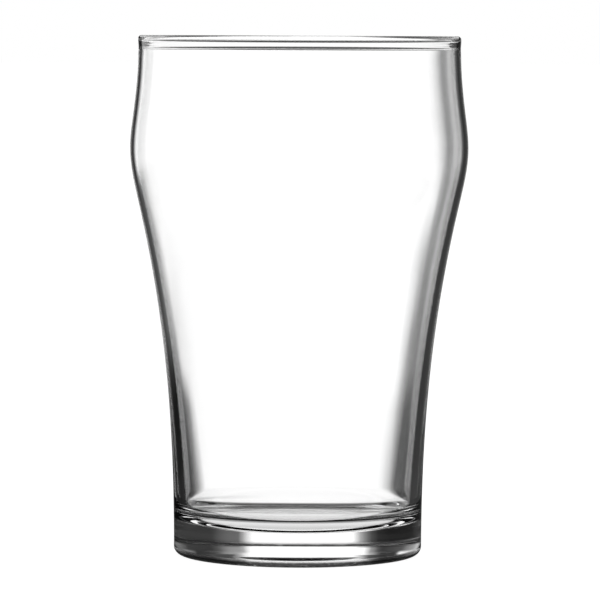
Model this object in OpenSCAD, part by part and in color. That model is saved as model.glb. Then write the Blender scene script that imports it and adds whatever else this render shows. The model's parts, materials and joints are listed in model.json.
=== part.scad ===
// Pint glass: a clear beer tumbler with a heavy base, a long tapered flank,
// a soft bulge below the mouth and a rounded lip.
// Millimetres, +Z up. The origin is on the axis, in the plane that the glass stands on.
// The real glass is one piece. Its nodes are the zones that the maker shapes in turn,
// and they meet on flat seams: base, tapered wall, bulge wall and lip.

/* [Overall] */
// Height from the table to the top of the lip
height = 140; // [125:1:155]
// Diameter of the foot, just above its rounded heel
foot_d = 67; // [60:0.5:76]
// Diameter that the shoulder settles to below the lip
neck_d = 86.7; // [82:0.1:90]

/* [Bulge] */
// Diameter at which flank and shoulder would meet in a sharp ridge
ridge_d = 94.5; // [92:0.5:100]
// Height of that ridge
ridge_z = 110; // [100:1:115]
// How far round the ridge the two curves blend
ridge_soft = 2.4; // [1:0.1:4]
// How late the flank flares out: 1 is a straight cone
flank_power = 2.3; // [1.5:0.1:3]
// How quickly the shoulder settles to the neck
shoulder_power = 2.5; // [2:0.1:4]

/* [Wall] */
// Wall thickness below the lip
lip_wall = 1.6; // [1.2:0.1:1.8]
// Wall thickness at the foot
foot_wall = 3.8; // [2.5:0.1:5]
// How quickly the wall thins on its way up
thinning_power = 3.5; // [1:0.1:4]

/* [Lip] */
// Thickness of the rounded lip
lip_d = 2; // [1.8:0.1:3]
// How far the lip stands out past the wall
lip_proud = 0.12; // [0:0.02:0.4]

/* [Base] */
// Height of the inside floor above the table
floor_z = 8.2; // [6:0.2:14]
// Diameter of the flat middle of the inside floor
floor_flat_d = 37; // [20:1:50]
// Height over which the floor curves up into the wall
cove_h = 7; // [4:0.5:12]
// Radius of the rounded heel
heel_r = 2.4; // [1:0.1:4]
// Width of the flat ring that the glass stands on
bearing_w = 2.2; // [1:0.1:4]
// Depth of the hollow under the base
punt_depth = 2.6; // [0.4:0.1:4]

/* [Hidden] */
$fn = 128;

level_step = 2;      // spacing of the outline's levels along the wall
arc_steps = 10;      // points on each small arc
belt_z = 80;         // seam between tapered wall and bulge wall
lip_seam_z = height - 3;
shoulder_end_z = height + 2;   // where the shoulder's curve would stop closing in

foot_r = foot_d / 2;
neck_r = neck_d / 2;
ridge_r = ridge_d / 2;
lip_r = lip_d / 2;
lip_centre_z = height - lip_r;
floor_flat_r = floor_flat_d / 2;
cove_top_z = floor_z + cove_h;

glass = [0.89, 0.93, 0.93, 0.4];

// Radius of the outside: flank and shoulder are two power curves, and a soft minimum
// joins them, so the bulge has no kink.
function flank_r(z) = foot_r + (ridge_r - foot_r) * pow(max(z, 0) / ridge_z, flank_power);
function shoulder_r(z) = neck_r + (ridge_r - neck_r)
    * pow(max(shoulder_end_z - z, 0) / (shoulder_end_z - ridge_z), shoulder_power);
function soft_min(a, b, soft) = -soft * ln(exp(-a / soft) + exp(-b / soft));
function outside_r(z) = soft_min(flank_r(z), shoulder_r(z), ridge_soft);

// Wall thickness, measured across the axis, and the radius of the inside.
function wall(z) = lip_wall + (foot_wall - lip_wall) * pow(1 - z / height, thinning_power);
function inside_r(z) = outside_r(z) - wall(z);

// Heights from one seam to the next, both ends included.
function levels(from, to) = let (n = ceil(abs(to - from) / level_step))
    [for (i = [0:n]) from + (to - from) * i / n];
function outside_line(from, to) = [for (z = levels(from, to)) [outside_r(z), z]];
function inside_line(from, to) = [for (z = levels(from, to)) [inside_r(z), z]];

// Points of an elliptical arc about a centre, between two angles.
function arc(centre, rx, rz, from, to) = [for (i = [0:arc_steps])
    let (a = from + (to - from) * i / arc_steps) centre + [rx * cos(a), rz * sin(a)]];

// Solid sham: rounded heel, flat bearing ring and a shallow hollow beneath.
module base() {
    heel_side_r = outside_r(heel_r);
    heel_centre = [heel_side_r - heel_r, heel_r];
    punt_r = heel_centre[0] - bearing_w;
    color(glass) rotate_extrude() polygon(concat(
        [[0, floor_z]],
        outside_line(floor_z, heel_r + 1),
        arc(heel_centre, heel_r, heel_r, 0, -90),
        arc([0, 0], punt_r, punt_depth, 0, 90)
    ));
}

// Lower wall: thick above the base, with the cove that rounds the inside floor.
module tapered_wall() {
    cove_rx = inside_r(cove_top_z) - floor_flat_r;
    color(glass) rotate_extrude() polygon(concat(
        outside_line(floor_z, belt_z),
        inside_line(belt_z, cove_top_z + level_step),
        arc([floor_flat_r, cove_top_z], cove_rx, cove_h, 0, -90)
    ));
}

// Upper wall: swells to the bulge and closes in to the neck.
module bulge_wall() {
    color(glass) rotate_extrude() polygon(concat(
        outside_line(belt_z, lip_seam_z),
        inside_line(lip_seam_z, belt_z)
    ));
}

// Lip: the wall thickens to a bead that is rounded over.
module lip() {
    bead_out_r = outside_r(lip_centre_z) + lip_proud;
    bead_centre = [bead_out_r - lip_r, lip_centre_z];
    color(glass) rotate_extrude() polygon(concat(
        [[outside_r(lip_seam_z), lip_seam_z]],
        arc(bead_centre, lip_r, lip_r, 0, 180),
        [[inside_r(lip_seam_z), lip_seam_z]]
    ));
}

base();
tapered_wall();
bulge_wall();
lip();
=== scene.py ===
# %% [markdown]
# # A clear pint glass
# This notebook dresses one object: a clear beer tumbler with a heavy base, a long tapered
# flank, a soft bulge below the mouth and a rounded lip. The CAD model arrives first and fixes
# every size. Blender then adds what CAD can't: a smooth skin, the faint waviness of pressed
# glass, and a studio that shows a colourless object by its dark edges.

# %% Load the frame
import json
import math

import bmesh
import bpy
import numpy as np
from mathutils import Matrix, Vector

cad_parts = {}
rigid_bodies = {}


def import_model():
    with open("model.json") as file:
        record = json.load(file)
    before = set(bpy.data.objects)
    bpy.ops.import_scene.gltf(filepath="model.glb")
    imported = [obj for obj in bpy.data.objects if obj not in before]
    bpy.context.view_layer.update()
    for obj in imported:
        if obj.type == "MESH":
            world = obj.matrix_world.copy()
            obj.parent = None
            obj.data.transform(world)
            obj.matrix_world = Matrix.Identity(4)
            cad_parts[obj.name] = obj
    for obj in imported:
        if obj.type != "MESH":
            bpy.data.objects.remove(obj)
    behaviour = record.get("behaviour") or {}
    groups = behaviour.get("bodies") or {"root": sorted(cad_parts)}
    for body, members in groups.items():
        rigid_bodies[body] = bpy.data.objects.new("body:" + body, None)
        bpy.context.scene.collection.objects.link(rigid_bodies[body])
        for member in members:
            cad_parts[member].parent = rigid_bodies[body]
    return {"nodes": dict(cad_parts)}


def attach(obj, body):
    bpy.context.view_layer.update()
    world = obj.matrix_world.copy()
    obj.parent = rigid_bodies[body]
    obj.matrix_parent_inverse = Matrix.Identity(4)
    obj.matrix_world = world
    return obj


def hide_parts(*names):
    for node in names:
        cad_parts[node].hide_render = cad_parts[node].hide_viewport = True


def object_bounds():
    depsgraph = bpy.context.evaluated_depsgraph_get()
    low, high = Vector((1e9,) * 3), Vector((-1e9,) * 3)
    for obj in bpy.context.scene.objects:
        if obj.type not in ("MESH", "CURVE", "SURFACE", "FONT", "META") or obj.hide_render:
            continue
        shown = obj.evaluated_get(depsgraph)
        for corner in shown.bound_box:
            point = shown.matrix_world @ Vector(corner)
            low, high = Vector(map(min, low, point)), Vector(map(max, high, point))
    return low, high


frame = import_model()
cad_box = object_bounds()
cad_low, cad_high = (Vector(corner) for corner in cad_box)
MM = 0.001
print("CAD box, mm:", [round(v / MM, 2) for v in (*cad_low, *cad_high)])

# %% [markdown]
# ## The outline
# A tumbler is a solid of revolution, so one half section says everything about its shape. The
# CAD nodes hold that section as rings of vertices: every ring has one height and one radius.
# A face that looks away from the axis belongs to the outside and one that looks at it to the
# inside, so the faces sort the rings for us. Reading the section, and not typing it again,
# keeps the skin on the CAD whatever its sizes.

# %% Read the rings of a node
RING_STEP = 0.02 * MM      # rings closer together than this are one ring
LEAST_LEAN = 0.01          # a face that leans sideways by less than this looks up or down
OUTWARD, INWARD, ANY = 1, -1, 0


def rings(node, facing=ANY):
    """The (radius, height) pairs of a node's rings, lowest first, on faces that look one way."""
    mesh = frame["nodes"][node].data
    points = np.array([v.co for v in mesh.vertices])
    if facing != ANY:
        faces = np.array([f.vertices for f in mesh.polygons])
        normals = np.array([f.normal for f in mesh.polygons])
        centres = points[faces].mean(axis=1)
        lean = (normals[:, :2] * centres[:, :2]).sum(axis=1) / np.hypot(*centres[:, :2].T)
        points = points[np.unique(faces[lean * facing > LEAST_LEAN])]
    pairs = np.column_stack((np.hypot(points[:, 0], points[:, 1]), points[:, 2]))
    _, first = np.unique(np.round(pairs / RING_STEP), axis=0, return_index=True)
    pairs = pairs[first]
    return pairs[np.lexsort((pairs[:, 0], pairs[:, 1]))]


flank_out, flank_in = rings("tapered_wall", OUTWARD), rings("tapered_wall", INWARD)
bulge_out, bulge_in = rings("bulge_wall", OUTWARD), rings("bulge_wall", INWARD)
print("flank:", len(flank_out), "rings outside,", len(flank_in), "inside")
print("bulge:", len(bulge_out), "rings outside,", len(bulge_in), "inside")

# %% [markdown]
# The lip is a bead, so its rings are put in order by their angle about a point inside it. The
# base gives the hollow beneath the glass, the narrow ring that it stands on, and the heel.

# %% Walk round the lip and under the base
lip = rings("lip")
lip_middle = lip.mean(axis=0)
lip_angle = np.arctan2(lip[:, 1] - lip_middle[1], lip[:, 0] - lip_middle[0])
lip = lip[np.argsort((lip_angle + math.pi / 2) % (2 * math.pi))]

base = rings("base")
floor_z = base[:, 1].max()
on_table = base[base[:, 1] < RING_STEP]
ring_in, ring_out = on_table[0, 0], on_table[-1, 0]
hollow = base[(base[:, 0] <= ring_in) & (base[:, 1] < floor_z / 2)]
hollow = hollow[np.argsort(hollow[:, 0])]
heel = base[(base[:, 0] >= ring_out) & (base[:, 1] < floor_z)]
print("stands on a ring from", round(ring_in / MM, 2), "to", round(ring_out / MM, 2), "mm radius")

# %% [markdown]
# Facets would show at once in clear glass, because every flat bends the light in one block. A
# cubic spline through the CAD points, with its slope and curvature continuous, is as smooth as
# the real fire-polished skin. It needs no library: one small linear system gives the slopes.

# %% Smooth a chain of points
def spline(points, fine=60):
    """Cubic spline through points by chord length, leaving and arriving along the end chords."""
    points = np.asarray(points)
    length = np.r_[0, np.cumsum(np.hypot(*np.diff(points, axis=0).T))]
    step = np.diff(length)[:, None]
    chord = np.diff(points, axis=0) / step
    n = len(points)
    system = np.eye(n)
    slope = np.vstack((chord[:1], np.zeros((n - 2, 2)), chord[-1:]))
    for i in range(1, n - 1):
        before, after = step[i - 1, 0], step[i, 0]
        system[i, i - 1:i + 2] = after, 2 * (before + after), before
        slope[i] = 3 * (after * chord[i - 1] + before * chord[i])
    slope = np.linalg.solve(system, slope)
    t = np.linspace(0, 1, fine, endpoint=False)[:, None]
    pieces = [
        (1 + 2 * t) * (1 - t) ** 2 * points[i] + t ** 2 * (3 - 2 * t) * points[i + 1]
        + step[i] * (t * (1 - t) ** 2 * slope[i] - t ** 2 * (1 - t) * slope[i + 1])
        for i in range(n - 1)
    ]
    return np.vstack((*pieces, points[-1:]))


# %% [markdown]
# The spline gives far more points than the skin needs. A wall wants a ring every millimetre or
# two, and a tight bend wants one every few degrees. Length and turn are added up as one effort,
# and points are kept at even steps of it.

# %% Thin the points out
LONGEST = 1.5 * MM           # spacing of the rings along a wall
SHARPEST = math.radians(6)   # and round a bend


def thin_out(points):
    """Fewer points, an even effort apart."""
    chord = np.diff(points, axis=0)
    heading = np.unwrap(np.arctan2(chord[:, 1], chord[:, 0]))
    lengths = np.cumsum(np.hypot(*chord.T)) / LONGEST
    turns = np.cumsum(np.abs(np.diff(heading, prepend=heading[0]))) / SHARPEST
    effort = np.r_[0, lengths + turns]
    wanted = np.linspace(0, effort[-1], round(effort[-1]) + 1)
    picks = np.round(np.interp(wanted, effort, np.arange(len(points))))
    return points[np.unique(picks).astype(int)]


# %% Join the section
FLOOR_RINGS = 12             # over the flat middle of the inside floor

skin = np.vstack((heel, flank_out, bulge_out, lip[1:-1], bulge_in[::-1], flank_in[::-1]))
skin = skin[np.r_[True, np.hypot(*np.diff(skin, axis=0).T) > RING_STEP]]
floor_r = np.linspace(skin[-1, 0], 0, FLOOR_RINGS + 1)[1:]
section = np.vstack((
    thin_out(spline(hollow)),
    thin_out(spline(skin)),
    np.column_stack((floor_r, np.full(FLOOR_RINGS, floor_z))),
))
section[0, 0] = 0
print("section of", len(section), "points,", round(section[:, 1].max() / MM, 2), "mm tall")

# %% [markdown]
# ## Spinning the glass
# A potter's wheel is a rule: turn the section about the axis. Geometry Nodes write that rule
# down. A grid has one column for each step round the glass and one row for each point of the
# section; every grid point looks up its row in the section and is swung to its column's angle.
# The tree also lays the faint waviness of pressed glass into the wall. Molten glass chills as
# it meets the mould and flows down it, so its waves run upright and are a few millimetres wide.

# %% A helper for node trees
def add_node(tree, kind, settings=None, **inputs):
    """A new node. Settings are its properties, and inputs are values or sockets to link."""
    node = tree.nodes.new(kind)
    for key, value in (settings or {}).items():
        setattr(node, key, value)
    for key, value in inputs.items():
        socket = node.inputs[int(key[1:]) if key[0] == "_" else key.replace("_", " ")]
        if isinstance(value, bpy.types.NodeSocket):
            tree.links.new(value, socket)
        else:
            socket.default_value = value
    return node


def math_node(tree, operation, *values):
    """One arithmetic step, for geometry and shader trees alike."""
    inputs = {f"_{i}": value for i, value in enumerate(values)}
    return add_node(tree, "ShaderNodeMath", {"operation": operation}, **inputs).outputs[0]


def new_socket(tree, name, kind, value=None, way="INPUT"):
    """A named input or output of a node group."""
    socket = tree.interface.new_socket(name, in_out=way, socket_type=kind)
    if value is not None:
        socket.default_value = value
    return socket


# %% [markdown]
# The waves are a cloud of noise that the wall passes through. The cloud is squeezed sideways and
# stretched upright, and its noise moves each point in or out. Near the axis the move fades away,
# so that the floor's centre stays one point.

# %% Waves in the wall
WAVE_FADE = 10 * MM    # radius at which the waves reach their full height


def wavy_radius(tree, given, part, cosine, sine):
    """The radius of a point of the section, with its share of the waves."""
    east = math_node(tree, "MULTIPLY", part["X"], cosine)
    north = math_node(tree, "MULTIPLY", part["X"], sine)
    across = math_node(tree, "DIVIDE", east, given["Wave width"])
    deep = math_node(tree, "DIVIDE", north, given["Wave width"])
    up = math_node(tree, "DIVIDE", part["Z"], given["Wave length"])
    where = add_node(tree, "ShaderNodeCombineXYZ", X=across, Y=deep, Z=up).outputs[0]
    noise = add_node(tree, "ShaderNodeTexNoise", {"noise_dimensions": "4D"},
                     Vector=where, W=given["Seed"], Scale=1.0, Detail=1.0).outputs[0]
    swell = math_node(tree, "SUBTRACT", noise, 0.5)
    wave = math_node(tree, "MULTIPLY", swell, given["Wave height"])
    off_axis = math_node(tree, "MULTIPLY", part["X"], 1 / WAVE_FADE)
    fade = math_node(tree, "MINIMUM", 1.0, off_axis)
    wave = math_node(tree, "MULTIPLY", wave, fade)
    return math_node(tree, "ADD", part["X"], wave)


# %% The spinning tree
WELD = 0.001 * MM      # points closer than this become one: the seam, and each pole


def spin_tree():
    """Turns a section in the XZ plane about Z, with upright waves in the wall."""
    tree = bpy.data.node_groups.new("spin_glass", "GeometryNodeTree")
    new_socket(tree, "Section", "NodeSocketGeometry")
    new_socket(tree, "Steps round", "NodeSocketInt", 64)
    new_socket(tree, "Wave height", "NodeSocketFloat", 0.0)
    new_socket(tree, "Wave width", "NodeSocketFloat", 1.0)
    new_socket(tree, "Wave length", "NodeSocketFloat", 1.0)
    new_socket(tree, "Seed", "NodeSocketInt", 0)
    new_socket(tree, "Glass", "NodeSocketMaterial")
    new_socket(tree, "Tumbler", "NodeSocketGeometry", way="OUTPUT")
    given = tree.nodes.new("NodeGroupInput").outputs
    count = add_node(tree, "GeometryNodeAttributeDomainSize", _0=given["Section"]).outputs[0]
    columns = math_node(tree, "ADD", given["Steps round"], 1.0)
    grid = add_node(tree, "GeometryNodeMeshGrid", Vertices_X=columns, Vertices_Y=count).outputs[0]

    index = tree.nodes.new("GeometryNodeInputIndex").outputs[0]
    row = math_node(tree, "FLOORED_MODULO", index, count)
    whole_columns = math_node(tree, "DIVIDE", index, count)
    column = math_node(tree, "FLOOR", whole_columns)
    place = tree.nodes.new("GeometryNodeInputPosition").outputs[0]
    looked_up = add_node(tree, "GeometryNodeSampleIndex", {"data_type": "FLOAT_VECTOR"},
                         Geometry=given["Section"], Value=place, Index=row).outputs[0]
    part = add_node(tree, "ShaderNodeSeparateXYZ", _0=looked_up).outputs

    share = math_node(tree, "DIVIDE", column, given["Steps round"])
    angle = math_node(tree, "MULTIPLY", share, math.tau)
    cosine = math_node(tree, "COSINE", angle)
    sine = math_node(tree, "SINE", angle)
    radius = wavy_radius(tree, given, part, cosine, sine)
    east = math_node(tree, "MULTIPLY", radius, cosine)
    north = math_node(tree, "MULTIPLY", radius, sine)
    spot = add_node(tree, "ShaderNodeCombineXYZ", X=east, Y=north, Z=part["Z"]).outputs[0]

    spun = add_node(tree, "GeometryNodeSetPosition", Geometry=grid, Position=spot).outputs[0]
    closed = add_node(tree, "GeometryNodeMergeByDistance", Geometry=spun, Distance=WELD).outputs[0]
    smooth = add_node(tree, "GeometryNodeSetShadeSmooth", Geometry=closed).outputs[0]
    real = add_node(tree, "GeometryNodeRealizeInstances", Geometry=smooth).outputs[0]
    glazed = add_node(tree, "GeometryNodeSetMaterial", Geometry=real, Material=given["Glass"])
    tree.links.new(glazed.outputs[0], tree.nodes.new("NodeGroupOutput").inputs[0])
    return tree


def set_inputs(modifier, **values):
    """Sets a modifier's inputs by socket identifier, from the names that the tree gives them."""
    named = {s.name: s.identifier for s in modifier.node_group.interface.items_tree}
    for name, value in values.items():
        modifier[named[name.replace("_", " ")]] = value


# %% [markdown]
# ## The glass
# Soda-lime glass is colourless in a wall this thin, so all its character is in its skin. A soft
# band round the heel is made rougher, as wear makes it, and its colour is painted almost black:
# painted shade for the dark line along the foot of a backlit glass. It could be a piece of its
# own, but a mask by height and radius follows the heel by itself, and noise makes it patchy.

# %% Wear and painted shade round the heel
foot_r = float(heel[:, 0].max())
WORN_SHADED_ABOVE = 2.4 * MM         # the wear and the painted shade start at this height on the heel
WORN_SHADED_BELOW = 1.2 * MM         # and are full below this one
WORN_SHADED_FROM = 0.90 * foot_r     # under the foot it starts at this radius
WORN_SHADED_PAST = 0.93 * foot_r     # and is full past this one
WORN_SHADED_LEAST = 0.88             # wear and painted shade of the least rubbed spots
WORN_SHADED_SPECKS = 0.3             # how much more the specks add
SPECK_SCALE = 900.0           # per metre, so a speck is about a millimetre


def heel_wear_and_shade(tree, place):
    """The heel's band, 0 on clean glass and 1 on the band: its wear and its painted shade."""
    height = add_node(tree, "ShaderNodeSeparateXYZ", _0=place).outputs["Z"]
    plan = add_node(tree, "ShaderNodeVectorMath", {"operation": "MULTIPLY"}, _0=place).outputs[0]
    plan.node.inputs[1].default_value = (1.0, 1.0, 0.0)
    radius = add_node(tree, "ShaderNodeVectorMath", {"operation": "LENGTH"},
                      _0=plan).outputs["Value"]
    low = add_node(tree, "ShaderNodeMapRange", {"interpolation_type": "SMOOTHSTEP"},
                   Value=height, From_Min=WORN_SHADED_ABOVE, From_Max=WORN_SHADED_BELOW).outputs[0]
    outer = add_node(tree, "ShaderNodeMapRange", {"interpolation_type": "SMOOTHSTEP"},
                     Value=radius, From_Min=WORN_SHADED_FROM, From_Max=WORN_SHADED_PAST).outputs[0]
    specks = add_node(tree, "ShaderNodeTexNoise", Vector=place, Scale=SPECK_SCALE,
                      Detail=3.0).outputs[0]
    # The same mask makes the band rough and paints its shade.
    rubbed_and_shaded = math_node(tree, "MULTIPLY_ADD", specks, WORN_SHADED_SPECKS, WORN_SHADED_LEAST)
    band = math_node(tree, "MULTIPLY", low, outer)
    wear_and_shade = math_node(tree, "MULTIPLY", band, rubbed_and_shaded)
    return math_node(tree, "MINIMUM", wear_and_shade, 1.0)


print("foot radius", round(foot_r / MM, 2), "mm, worn up to", round(WORN_SHADED_ABOVE / MM, 2), "mm")

# %% [markdown]
# The rest of the skin was polished by fire, not ground, so it holds a faint orange peel. Dimples
# this shallow needn't be in the mesh: a bump from stretched noise bends the light enough.

# %% Orange peel
PEEL_SCALE = 260.0            # per metre, so a dimple is about 4 mm across
PEEL_STRETCH = 0.25           # and four times as long
PEEL_DEPTH = 0.02 * MM
PEEL_STRENGTH = 0.06


def orange_peel(tree, place):
    """The tiny bumps of a fire-polished skin, as a normal."""
    stretch = add_node(tree, "ShaderNodeMapping", Vector=place)
    stretch.inputs["Scale"].default_value = (1.0, 1.0, PEEL_STRETCH)
    dimples = add_node(tree, "ShaderNodeTexNoise", Vector=stretch.outputs[0], Scale=PEEL_SCALE,
                       Detail=2.0).outputs[0]
    return add_node(tree, "ShaderNodeBump", Height=dimples, Strength=PEEL_STRENGTH,
                    Distance=PEEL_DEPTH).outputs[0]


# %% [markdown]
# Glass bends light by a factor of 1.52. The index is the same all over, so it is set on the
# shader's own socket. On the heel's band the skin is rougher from wear, and it passes less light
# because its colour is darkened as painted shade.

# %% Clear glass
GLASS_IOR = 1.52
HEEL_PAINTED_SHADE = 0.995             # how far the full band darkens the colour: painted shade
WORN_ROUGHNESS = 0.3


def clear_glass():
    """Fire-polished soda-lime glass, worn round the heel and darkened there with painted shade."""
    material = bpy.data.materials.new("clear_glass")
    material.use_nodes = True
    tree = material.node_tree
    shader = tree.nodes["Principled BSDF"]
    shader.inputs["IOR"].default_value = GLASS_IOR
    shader.inputs["Transmission Weight"].default_value = 1.0
    place = tree.nodes.new("ShaderNodeTexCoord").outputs["Object"]
    wear_and_shade = heel_wear_and_shade(tree, place)
    roughness = math_node(tree, "MULTIPLY", wear_and_shade, WORN_ROUGHNESS)
    # The band is made rougher by its wear, and its colour is darkened almost to black as painted
    # shade.
    shaded_base_colour = math_node(tree, "MULTIPLY_ADD", wear_and_shade, -HEEL_PAINTED_SHADE, 1.0)
    tree.links.new(roughness, shader.inputs["Roughness"])
    tree.links.new(shaded_base_colour, shader.inputs["Base Color"])
    tree.links.new(orange_peel(tree, place), shader.inputs["Normal"])
    return material


glass = clear_glass()
print("glass:", len(glass.node_tree.nodes), "nodes, index", GLASS_IOR)

# %% [markdown]
# Three hundred steps round keep the outline smooth. The spun glass is then taken off as a plain
# mesh, and the object that carried the modifier is thrown away.

# %% Spin it
STEPS_ROUND = 300
WAVE_HEIGHT = 0.02 * MM
WAVE_WIDTH = 7 * MM
WAVE_LENGTH = 60 * MM
WAVE_SEED = 4


def spun_mesh(section, material):
    """The section turned into a closed skin, as a plain mesh."""
    wire = bpy.data.meshes.new("section")
    points = [(r, 0, z) for r, z in section]
    links = [(i, i + 1) for i in range(len(section) - 1)]
    wire.from_pydata(points, links, [])
    blank = bpy.data.objects.new("section", wire)
    bpy.context.scene.collection.objects.link(blank)
    spin = blank.modifiers.new("spin", "NODES")
    spin.node_group = spin_tree()
    set_inputs(spin, Steps_round=STEPS_ROUND, Wave_height=WAVE_HEIGHT, Wave_width=WAVE_WIDTH,
               Wave_length=WAVE_LENGTH, Seed=WAVE_SEED, Glass=material)
    spun = blank.evaluated_get(bpy.context.evaluated_depsgraph_get())
    mesh = bpy.data.meshes.new_from_object(spun)
    bpy.data.objects.remove(blank)
    bpy.data.meshes.remove(wire)
    return mesh


body = bpy.data.objects.new("glass_body", spun_mesh(section, glass))
bpy.context.scene.collection.objects.link(body)
print("glass body:", len(body.data.vertices), "points,", len(body.data.polygons), "faces")

# %% [markdown]
# A skin that light passes through has to be closed, and its faces have to look outwards, or the
# light would bend the wrong way. The enclosed volume is a quick test of both: it is positive
# only when the faces look out, and it should match the solid glass.

# %% Test the skin
ML = 1e-6    # cubic metres


def enclosed(mesh):
    """Volume inside a closed mesh, positive where its faces look outwards."""
    mesh.calc_loop_triangles()
    at = np.array([v.co for v in mesh.vertices])
    a, b, c = at[np.array([t.vertices for t in mesh.loop_triangles])].transpose(1, 0, 2)
    return float((a * np.cross(b, c)).sum() / 6)


if enclosed(body.data) < 0:
    body.data.flip_normals()
edges = np.array([k for f in body.data.polygons for k in f.edge_keys])
_, uses = np.unique(edges, axis=0, return_counts=True)
print("glass:", round(enclosed(body.data) / ML, 1), "ml, open edges:", int((uses != 2).sum()))

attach(body, "root")
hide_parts("base", "tapered_wall", "bulge_wall", "lip")

# %% [markdown]
# ## The camera
# A tall thing on a table is usually shot from its own rim height, so the mouth closes to a line
# while the foot still shows as an ellipse. A long lens keeps the flanks from leaning.

# %% Place the camera
DISTANCE = 8.3 * cad_high.z     # from the axis
SENSOR = 36.0                   # mm
LENS = 258.8                    # mm
ROLL = math.radians(0.25)       # the camera leans by a hair
AIM_RIGHT = 0.4 * MM            # and looks just past the middle of the glass
AIM_BELOW = 1.2 * MM

camera_data = bpy.data.cameras.new("camera")
camera_data.sensor_width = SENSOR
camera_data.lens = LENS
camera_data.clip_start = 0.1
camera_data.clip_end = 100
camera = bpy.data.objects.new("camera", camera_data)
bpy.context.scene.collection.objects.link(camera)
bpy.context.scene.camera = camera
place = Vector((0, -DISTANCE, cad_high.z))
aim = Vector((AIM_RIGHT, 0, cad_high.z / 2 - AIM_BELOW))
turn = (aim - place).to_track_quat("-Z", "Y").to_matrix() @ Matrix.Rotation(ROLL, 3, "Z")
camera.matrix_world = Matrix.LocRotScale(place, turn.to_quaternion(), None)
bpy.context.view_layer.update()
print("camera at", [round(v, 3) for v in camera.location])

# %% [markdown]
# ## Light for clear glass
# Clear glass has no colour of its own: it shows what lies behind it and beside it, bent. So a
# studio lights it in a bright field. A white screen stands close behind the glass and fills the
# view, black flags stand on both sides of the screen, and soft boxes stand beyond the flags.
# The middle of the glass looks through to the screen, while the edges bend the view sideways
# to the flags and come out as dark lines, with a thread of light from the soft boxes.
#
# The whole set is painted on the inside of one sphere round the glass. It turns with the
# camera, as if the screen were carried round behind the glass, so the glass is seen in the
# same light from every side. Only light that has passed through the glass or bounced off it
# can see the sphere. Its radius matters: the set stands close, so the thick base and the thin
# wall look at it from slightly different places, and their dark edges differ.

# %% Brightness round the set
DOME_RADIUS = 0.25
SCREEN = 1.25         # brightness of the screen: a little over white
FLAG = 0.04           # black velvet

# Each row is read from left to right, as (degrees to the right of the view, brightness). The
# screen is in the middle, then come its soft edges, the flags, and the soft boxes at the sides.
HIGH_STOPS = (
    (-180, 0.3), (-100, 0.3), (-80, 0.6), (-70, 1.2), (-40, 1.2), (-37, 0.1), (-35, FLAG),
    (-26, FLAG), (-23, 0.35), (-21, 0.55), (-19, 1.1), (-18, SCREEN), (13.5, SCREEN),
    (14.5, 0.9), (15.5, 0.6), (17, 0.35), (21, 0.28), (24, 0.1), (27, FLAG), (38, FLAG),
    (43, 0.25), (50, 0.45), (75, 0.12), (100, 0.1), (180, 0.3),
)
MIDDLE_STOPS = (
    (-180, 0.2), (-100, 0.2), (-80, 0.6), (-62, 0.9), (-55, 0.5), (-50, 0.35), (-45, 0.25),
    (-40, 0.1), (-26, FLAG), (-24, 0.1), (-21, 0.35), (-19.5, 0.8), (-18, SCREEN),
    (11.5, SCREEN), (12.8, 0.9), (13.6, 0.5), (15, 0.34), (19, 0.28), (23, 0.1), (27, FLAG),
    (45, 0.05), (60, 0.25), (76, 0.4), (88, 0.12), (120, 0.1), (180, 0.3),
)
LOW_STOPS = (
    (-180, 0.05), (-90, 0.05), (-72, 0.15), (-60, 0.05), (-50, 0.01), (-30, 0.01), (-24, 0.02),
    (-21, 0.07), (-19, 0.18), (-17, 0.4), (-15.5, 0.8), (-14, SCREEN), (10.5, SCREEN),
    (12, 0.95), (13.2, 0.6), (14.2, 0.35), (15.5, 0.14), (19, 0.13), (22, 0.1), (26, FLAG),
    (65, FLAG), (110, 0.05), (180, 0.1),
)
# The foot of the screen lies forward on the table, between the feet of the flags.
FOOT_STOPS = (
    (-180, 0.05), (-40, 0.02), (-24, 0.03), (-19, 0.12), (-17, 0.5), (-14, 1.15), (12, 1.15),
    (14, 0.5), (17, 0.08), (30, 0.05), (180, 0.05),
)
# Nearer still, the table is lit ahead and to the right, and the left is in the flag's shadow.
TABLE_STOPS = (
    (-180, 0.05), (-30, FLAG), (-8, 0.1), (-6, 0.3), (-4, 0.75), (-2, 1.2), (12, 1.2), (30, 1.0),
    (60, 0.2), (100, 0.05), (180, 0.05),
)
print("brightness rows:", len(HIGH_STOPS), len(MIDDLE_STOPS), len(LOW_STOPS), len(FOOT_STOPS),
      len(TABLE_STOPS), "stops, from the top down")

# %% [markdown]
# The rows are stacked from the table up. Over the screen there is nothing left to tell left from
# right, so the gap, the top light and the ceiling are each one plain brightness.

# %% Brightness from the table to the ceiling
GAP = 0.05            # a dark strip just over the screen: it draws the line along the lip
TOP_LIGHT = 1.1       # and a narrow light above the gap, which parts that line in two
CEILING = 0.06        # the dark room above

# Where one row gives way to the next, in degrees above the level of the camera's view
TABLE_TO_FOOT = (-44.0, -34.0)
FOOT_TO_LOW = (-20.0, -18.0)
LOW_TO_MIDDLE = (-11.5, -7.0)
MIDDLE_TO_HIGH = (0.5, 7.0)
HIGH_TO_GAP = (20.4, 21.4)
GAP_TO_LIGHT = (25.8, 27.4)
LIGHT_TO_CEILING = (33.5, 36.0)
print("the top light starts", GAP_TO_LIGHT[0], "degrees above the view")

# %% [markdown]
# The paint glows and is never lit, so it needs only an Emission node. Colour ramps hold the rows
# of greys, and smooth steps by height lead from one row to the next.

# %% Helpers for glowing paint
def glow_material(name):
    """A material that only glows, and isn't treated as a lamp. Its tree is still empty."""
    material = bpy.data.materials.new(name)
    material.use_nodes = True
    material.cycles.emission_sampling = "NONE"
    material.node_tree.nodes.clear()
    return material


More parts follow.
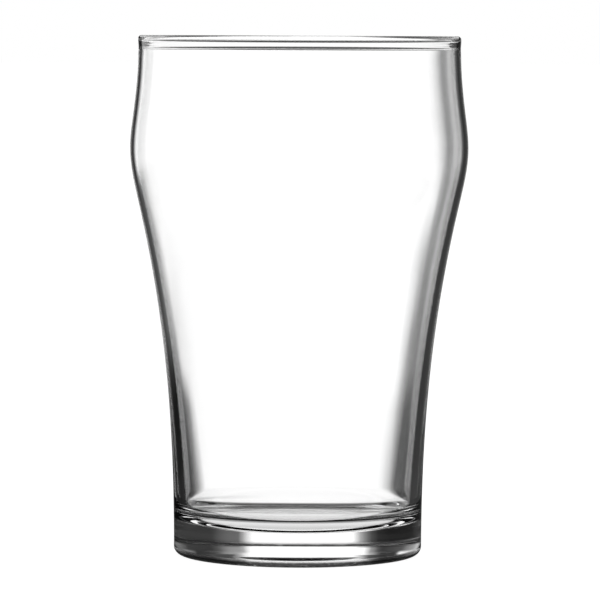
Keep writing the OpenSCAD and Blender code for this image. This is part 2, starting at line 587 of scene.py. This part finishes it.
def finish_glow(tree, **inputs):
    """Ends a glowing material's tree, with the given inputs on its Emission node."""
    glow = add_node(tree, "ShaderNodeEmission", **inputs).outputs[0]
    add_node(tree, "ShaderNodeOutputMaterial", Surface=glow)


def grey_ramp(tree, share, marks):
    """Greys at the given marks, which are (position, grey) with positions from 0 to 1."""
    ramp = add_node(tree, "ShaderNodeValToRGB", _0=share)
    elements = ramp.color_ramp.elements
    elements.remove(elements[1])
    for i, (position, grey) in enumerate(marks):
        element = elements[0] if i == 0 else elements.new(position)
        element.position = position
        element.color = (grey, grey, grey, 1.0)
    return ramp.outputs[0]


# %% The set, painted by direction
def blend(tree, height, below, above, span):
    """Below up to the start of a span of heights, and above from its end."""
    share = add_node(tree, "ShaderNodeMapRange", {"interpolation_type": "SMOOTHSTEP"},
                     Value=height, From_Min=span[0], From_Max=span[1]).outputs[0]
    return add_node(tree, "ShaderNodeMix", {"data_type": "FLOAT"}, _0=share, _2=below,
                    _3=above).outputs[0]


def set_paint():
    """Screen, flags, soft boxes and table for the inside of the sphere."""
    material = glow_material("set_paint")
    tree = material.node_tree
    place = tree.nodes.new("ShaderNodeTexCoord").outputs["Object"]
    unit = add_node(tree, "ShaderNodeVectorMath", {"operation": "NORMALIZE"}, _0=place).outputs[0]
    axis = add_node(tree, "ShaderNodeSeparateXYZ", _0=unit).outputs
    ahead = math_node(tree, "MULTIPLY", axis["Z"], -1.0)
    azimuth = math_node(tree, "ARCTAN2", axis["X"], ahead)
    turn = math_node(tree, "MULTIPLY_ADD", azimuth, 1 / math.tau, 0.5)
    lift = math_node(tree, "ARCSINE", axis["Y"])
    height = math_node(tree, "MULTIPLY", lift, math.degrees(1))

    def row(stops):
        """One row of stops, as brightness by direction."""
        return grey_ramp(tree, turn, [(degrees / 360 + 0.5, grey) for degrees, grey in stops])

    painted = row(TABLE_STOPS)
    for above, span in (
        (row(FOOT_STOPS), TABLE_TO_FOOT),
        (row(LOW_STOPS), FOOT_TO_LOW),
        (row(MIDDLE_STOPS), LOW_TO_MIDDLE),
        (row(HIGH_STOPS), MIDDLE_TO_HIGH),
        (GAP, HIGH_TO_GAP),
        (TOP_LIGHT, GAP_TO_LIGHT),
        (CEILING, LIGHT_TO_CEILING),
    ):
        painted = blend(tree, height, painted, above, span)
    finish_glow(tree, Strength=painted)
    return material


# %% [markdown]
# The sphere stays round the glass. A constraint makes it copy the camera's turning, but not its
# place, so the screen is always behind the glass.

# %% Put the sphere round the glass
def add_stage(name, mesh, *hidden_from):
    """A part of the studio, which some kinds of light don't see."""
    thing = bpy.data.objects.new(name, mesh)
    bpy.context.scene.collection.objects.link(thing)
    for ray in hidden_from:
        setattr(thing, "visible_" + ray, False)
    return thing


SEEN_THROUGH_GLASS = ("camera", "diffuse", "shadow", "volume_scatter")   # hidden from these
ROUND = 96    # segments round the sphere and the disc

ball = bmesh.new()
bmesh.ops.create_uvsphere(ball, u_segments=ROUND, v_segments=ROUND // 2, radius=DOME_RADIUS)
dome_mesh = bpy.data.meshes.new("light_set")
ball.to_mesh(dome_mesh)
ball.free()
dome_mesh.materials.append(set_paint())
dome = add_stage("light_set", dome_mesh, *SEEN_THROUGH_GLASS)
dome.location = (0, 0, cad_high.z / 2)
turning = dome.constraints.new("COPY_ROTATION")
turning.target = camera
print("light set: radius", DOME_RADIUS, "m")

# %% [markdown]
# ## The table and the air
# The table and the background are plain and pale, with no line between them. The table glows a
# little under white and keeps a breath of shadow where the glass stands. Inside the glass the
# table is seen as well, and there the foot's own shadow matters: a narrow dark ring where glass
# and table meet, which draws the line round the bottom of every backlit tumbler.

# %% Floor
PAPER_GREY = 0.12     # what the paper adds from the light that falls on it
PAPER_GLOW = 0.95     # and what it glows with


def pale_floor():
    """Paper that is nearly as bright as the screen, and still takes a faint shadow."""
    material = bpy.data.materials.new("pale_floor")
    material.use_nodes = True
    material.cycles.emission_sampling = "NONE"
    shader = material.node_tree.nodes["Principled BSDF"]
    shader.inputs["Base Color"].default_value = (PAPER_GREY, PAPER_GREY, PAPER_GREY, 1.0)
    shader.inputs["Roughness"].default_value = 1.0
    shader.inputs["Specular IOR Level"].default_value = 0.0
    shader.inputs["Emission Color"].default_value = (1.0, 1.0, 1.0, 1.0)
    shader.inputs["Emission Strength"].default_value = PAPER_GLOW
    return material


HALF_FLOOR = 20.0
FLOOR_GAP = 0.05 * MM      # between the foot and the table, so that they never share a plane
SIDES = ((-1, -1), (1, -1), (1, 1), (-1, 1))
floor_mesh = bpy.data.meshes.new("floor")
floor_mesh.from_pydata([(x * HALF_FLOOR, y * HALF_FLOOR, 0) for x, y in SIDES], [], [(0, 1, 2, 3)])
floor_mesh.materials.append(pale_floor())
floor = add_stage("floor", floor_mesh, "glossy", "transmission")
floor.location.z = cad_low.z - FLOOR_GAP
print("floor:", 2 * HALF_FLOOR, "m square,", round(FLOOR_GAP / MM, 2), "mm under the foot")

# %% The foot's own shadow, as the glass sees it
# Brightness of the table, as (share of the foot's radius from the axis, brightness)
SHADOW_STOPS = (
    (0, 0.7), (0.6, 0.68), (0.8, 0.88), (0.86, 0.5), (0.91, 0.05), (1.08, 0.05), (1.12, 0.3),
    (1.15, 1.1),
)
SHADOW_REACH = 1.15        # the disc ends here, and the set is seen past it
SHADOW_GAP = 0.03 * MM     # between the foot and the disc, which lies on the table


def shadow_paint():
    """A soft dark ring on the table, round the edge of the foot."""
    material = glow_material("foot_shadow")
    tree = material.node_tree
    place = tree.nodes.new("ShaderNodeTexCoord").outputs["Object"]
    far = add_node(tree, "ShaderNodeVectorMath", {"operation": "LENGTH"}, _0=place).outputs["Value"]
    share = math_node(tree, "DIVIDE", far, foot_r * SHADOW_REACH)
    ring = grey_ramp(tree, share, [(step / SHADOW_REACH, grey) for step, grey in SHADOW_STOPS])
    finish_glow(tree, Color=ring)
    return material


disc = bmesh.new()
bmesh.ops.create_circle(disc, cap_ends=True, segments=ROUND, radius=foot_r * SHADOW_REACH)
shadow_mesh = bpy.data.meshes.new("foot_shadow")
disc.to_mesh(shadow_mesh)
disc.free()
shadow_mesh.materials.append(shadow_paint())
shadow = add_stage("foot_shadow", shadow_mesh, *SEEN_THROUGH_GLASS)
shadow.location.z = cad_low.z - SHADOW_GAP
print("shadow disc: radius", round(foot_r * SHADOW_REACH / MM, 1), "mm")

# %% Air and top light
world = bpy.data.worlds.new("studio")
world.use_nodes = True
world.node_tree.nodes["Background"].inputs["Color"].default_value = (1.0, 1.0, 1.0, 1.0)
bpy.context.scene.world = world

LAMP_POWER = 12            # watts
LAMP_SIZE = 1.2            # metres across, for a soft light
LAMP_PLACE = (0.2, -0.2, 1.4)
lamp_data = bpy.data.lights.new("top_light", "AREA")
lamp_data.energy = LAMP_POWER
lamp_data.size = LAMP_SIZE
lamp = bpy.data.objects.new("top_light", lamp_data)
bpy.context.scene.collection.objects.link(lamp)
lamp.location = LAMP_PLACE
for ray in ("camera", "glossy", "transmission"):
    setattr(lamp, "visible_" + ray, False)
print("top light:", LAMP_POWER, "W,", LAMP_SIZE, "m square")

bpy.context.scene.view_settings.view_transform = "Standard"

# %% [markdown]
# ## Finish

# %% Finish
bpy.context.view_layer.update()
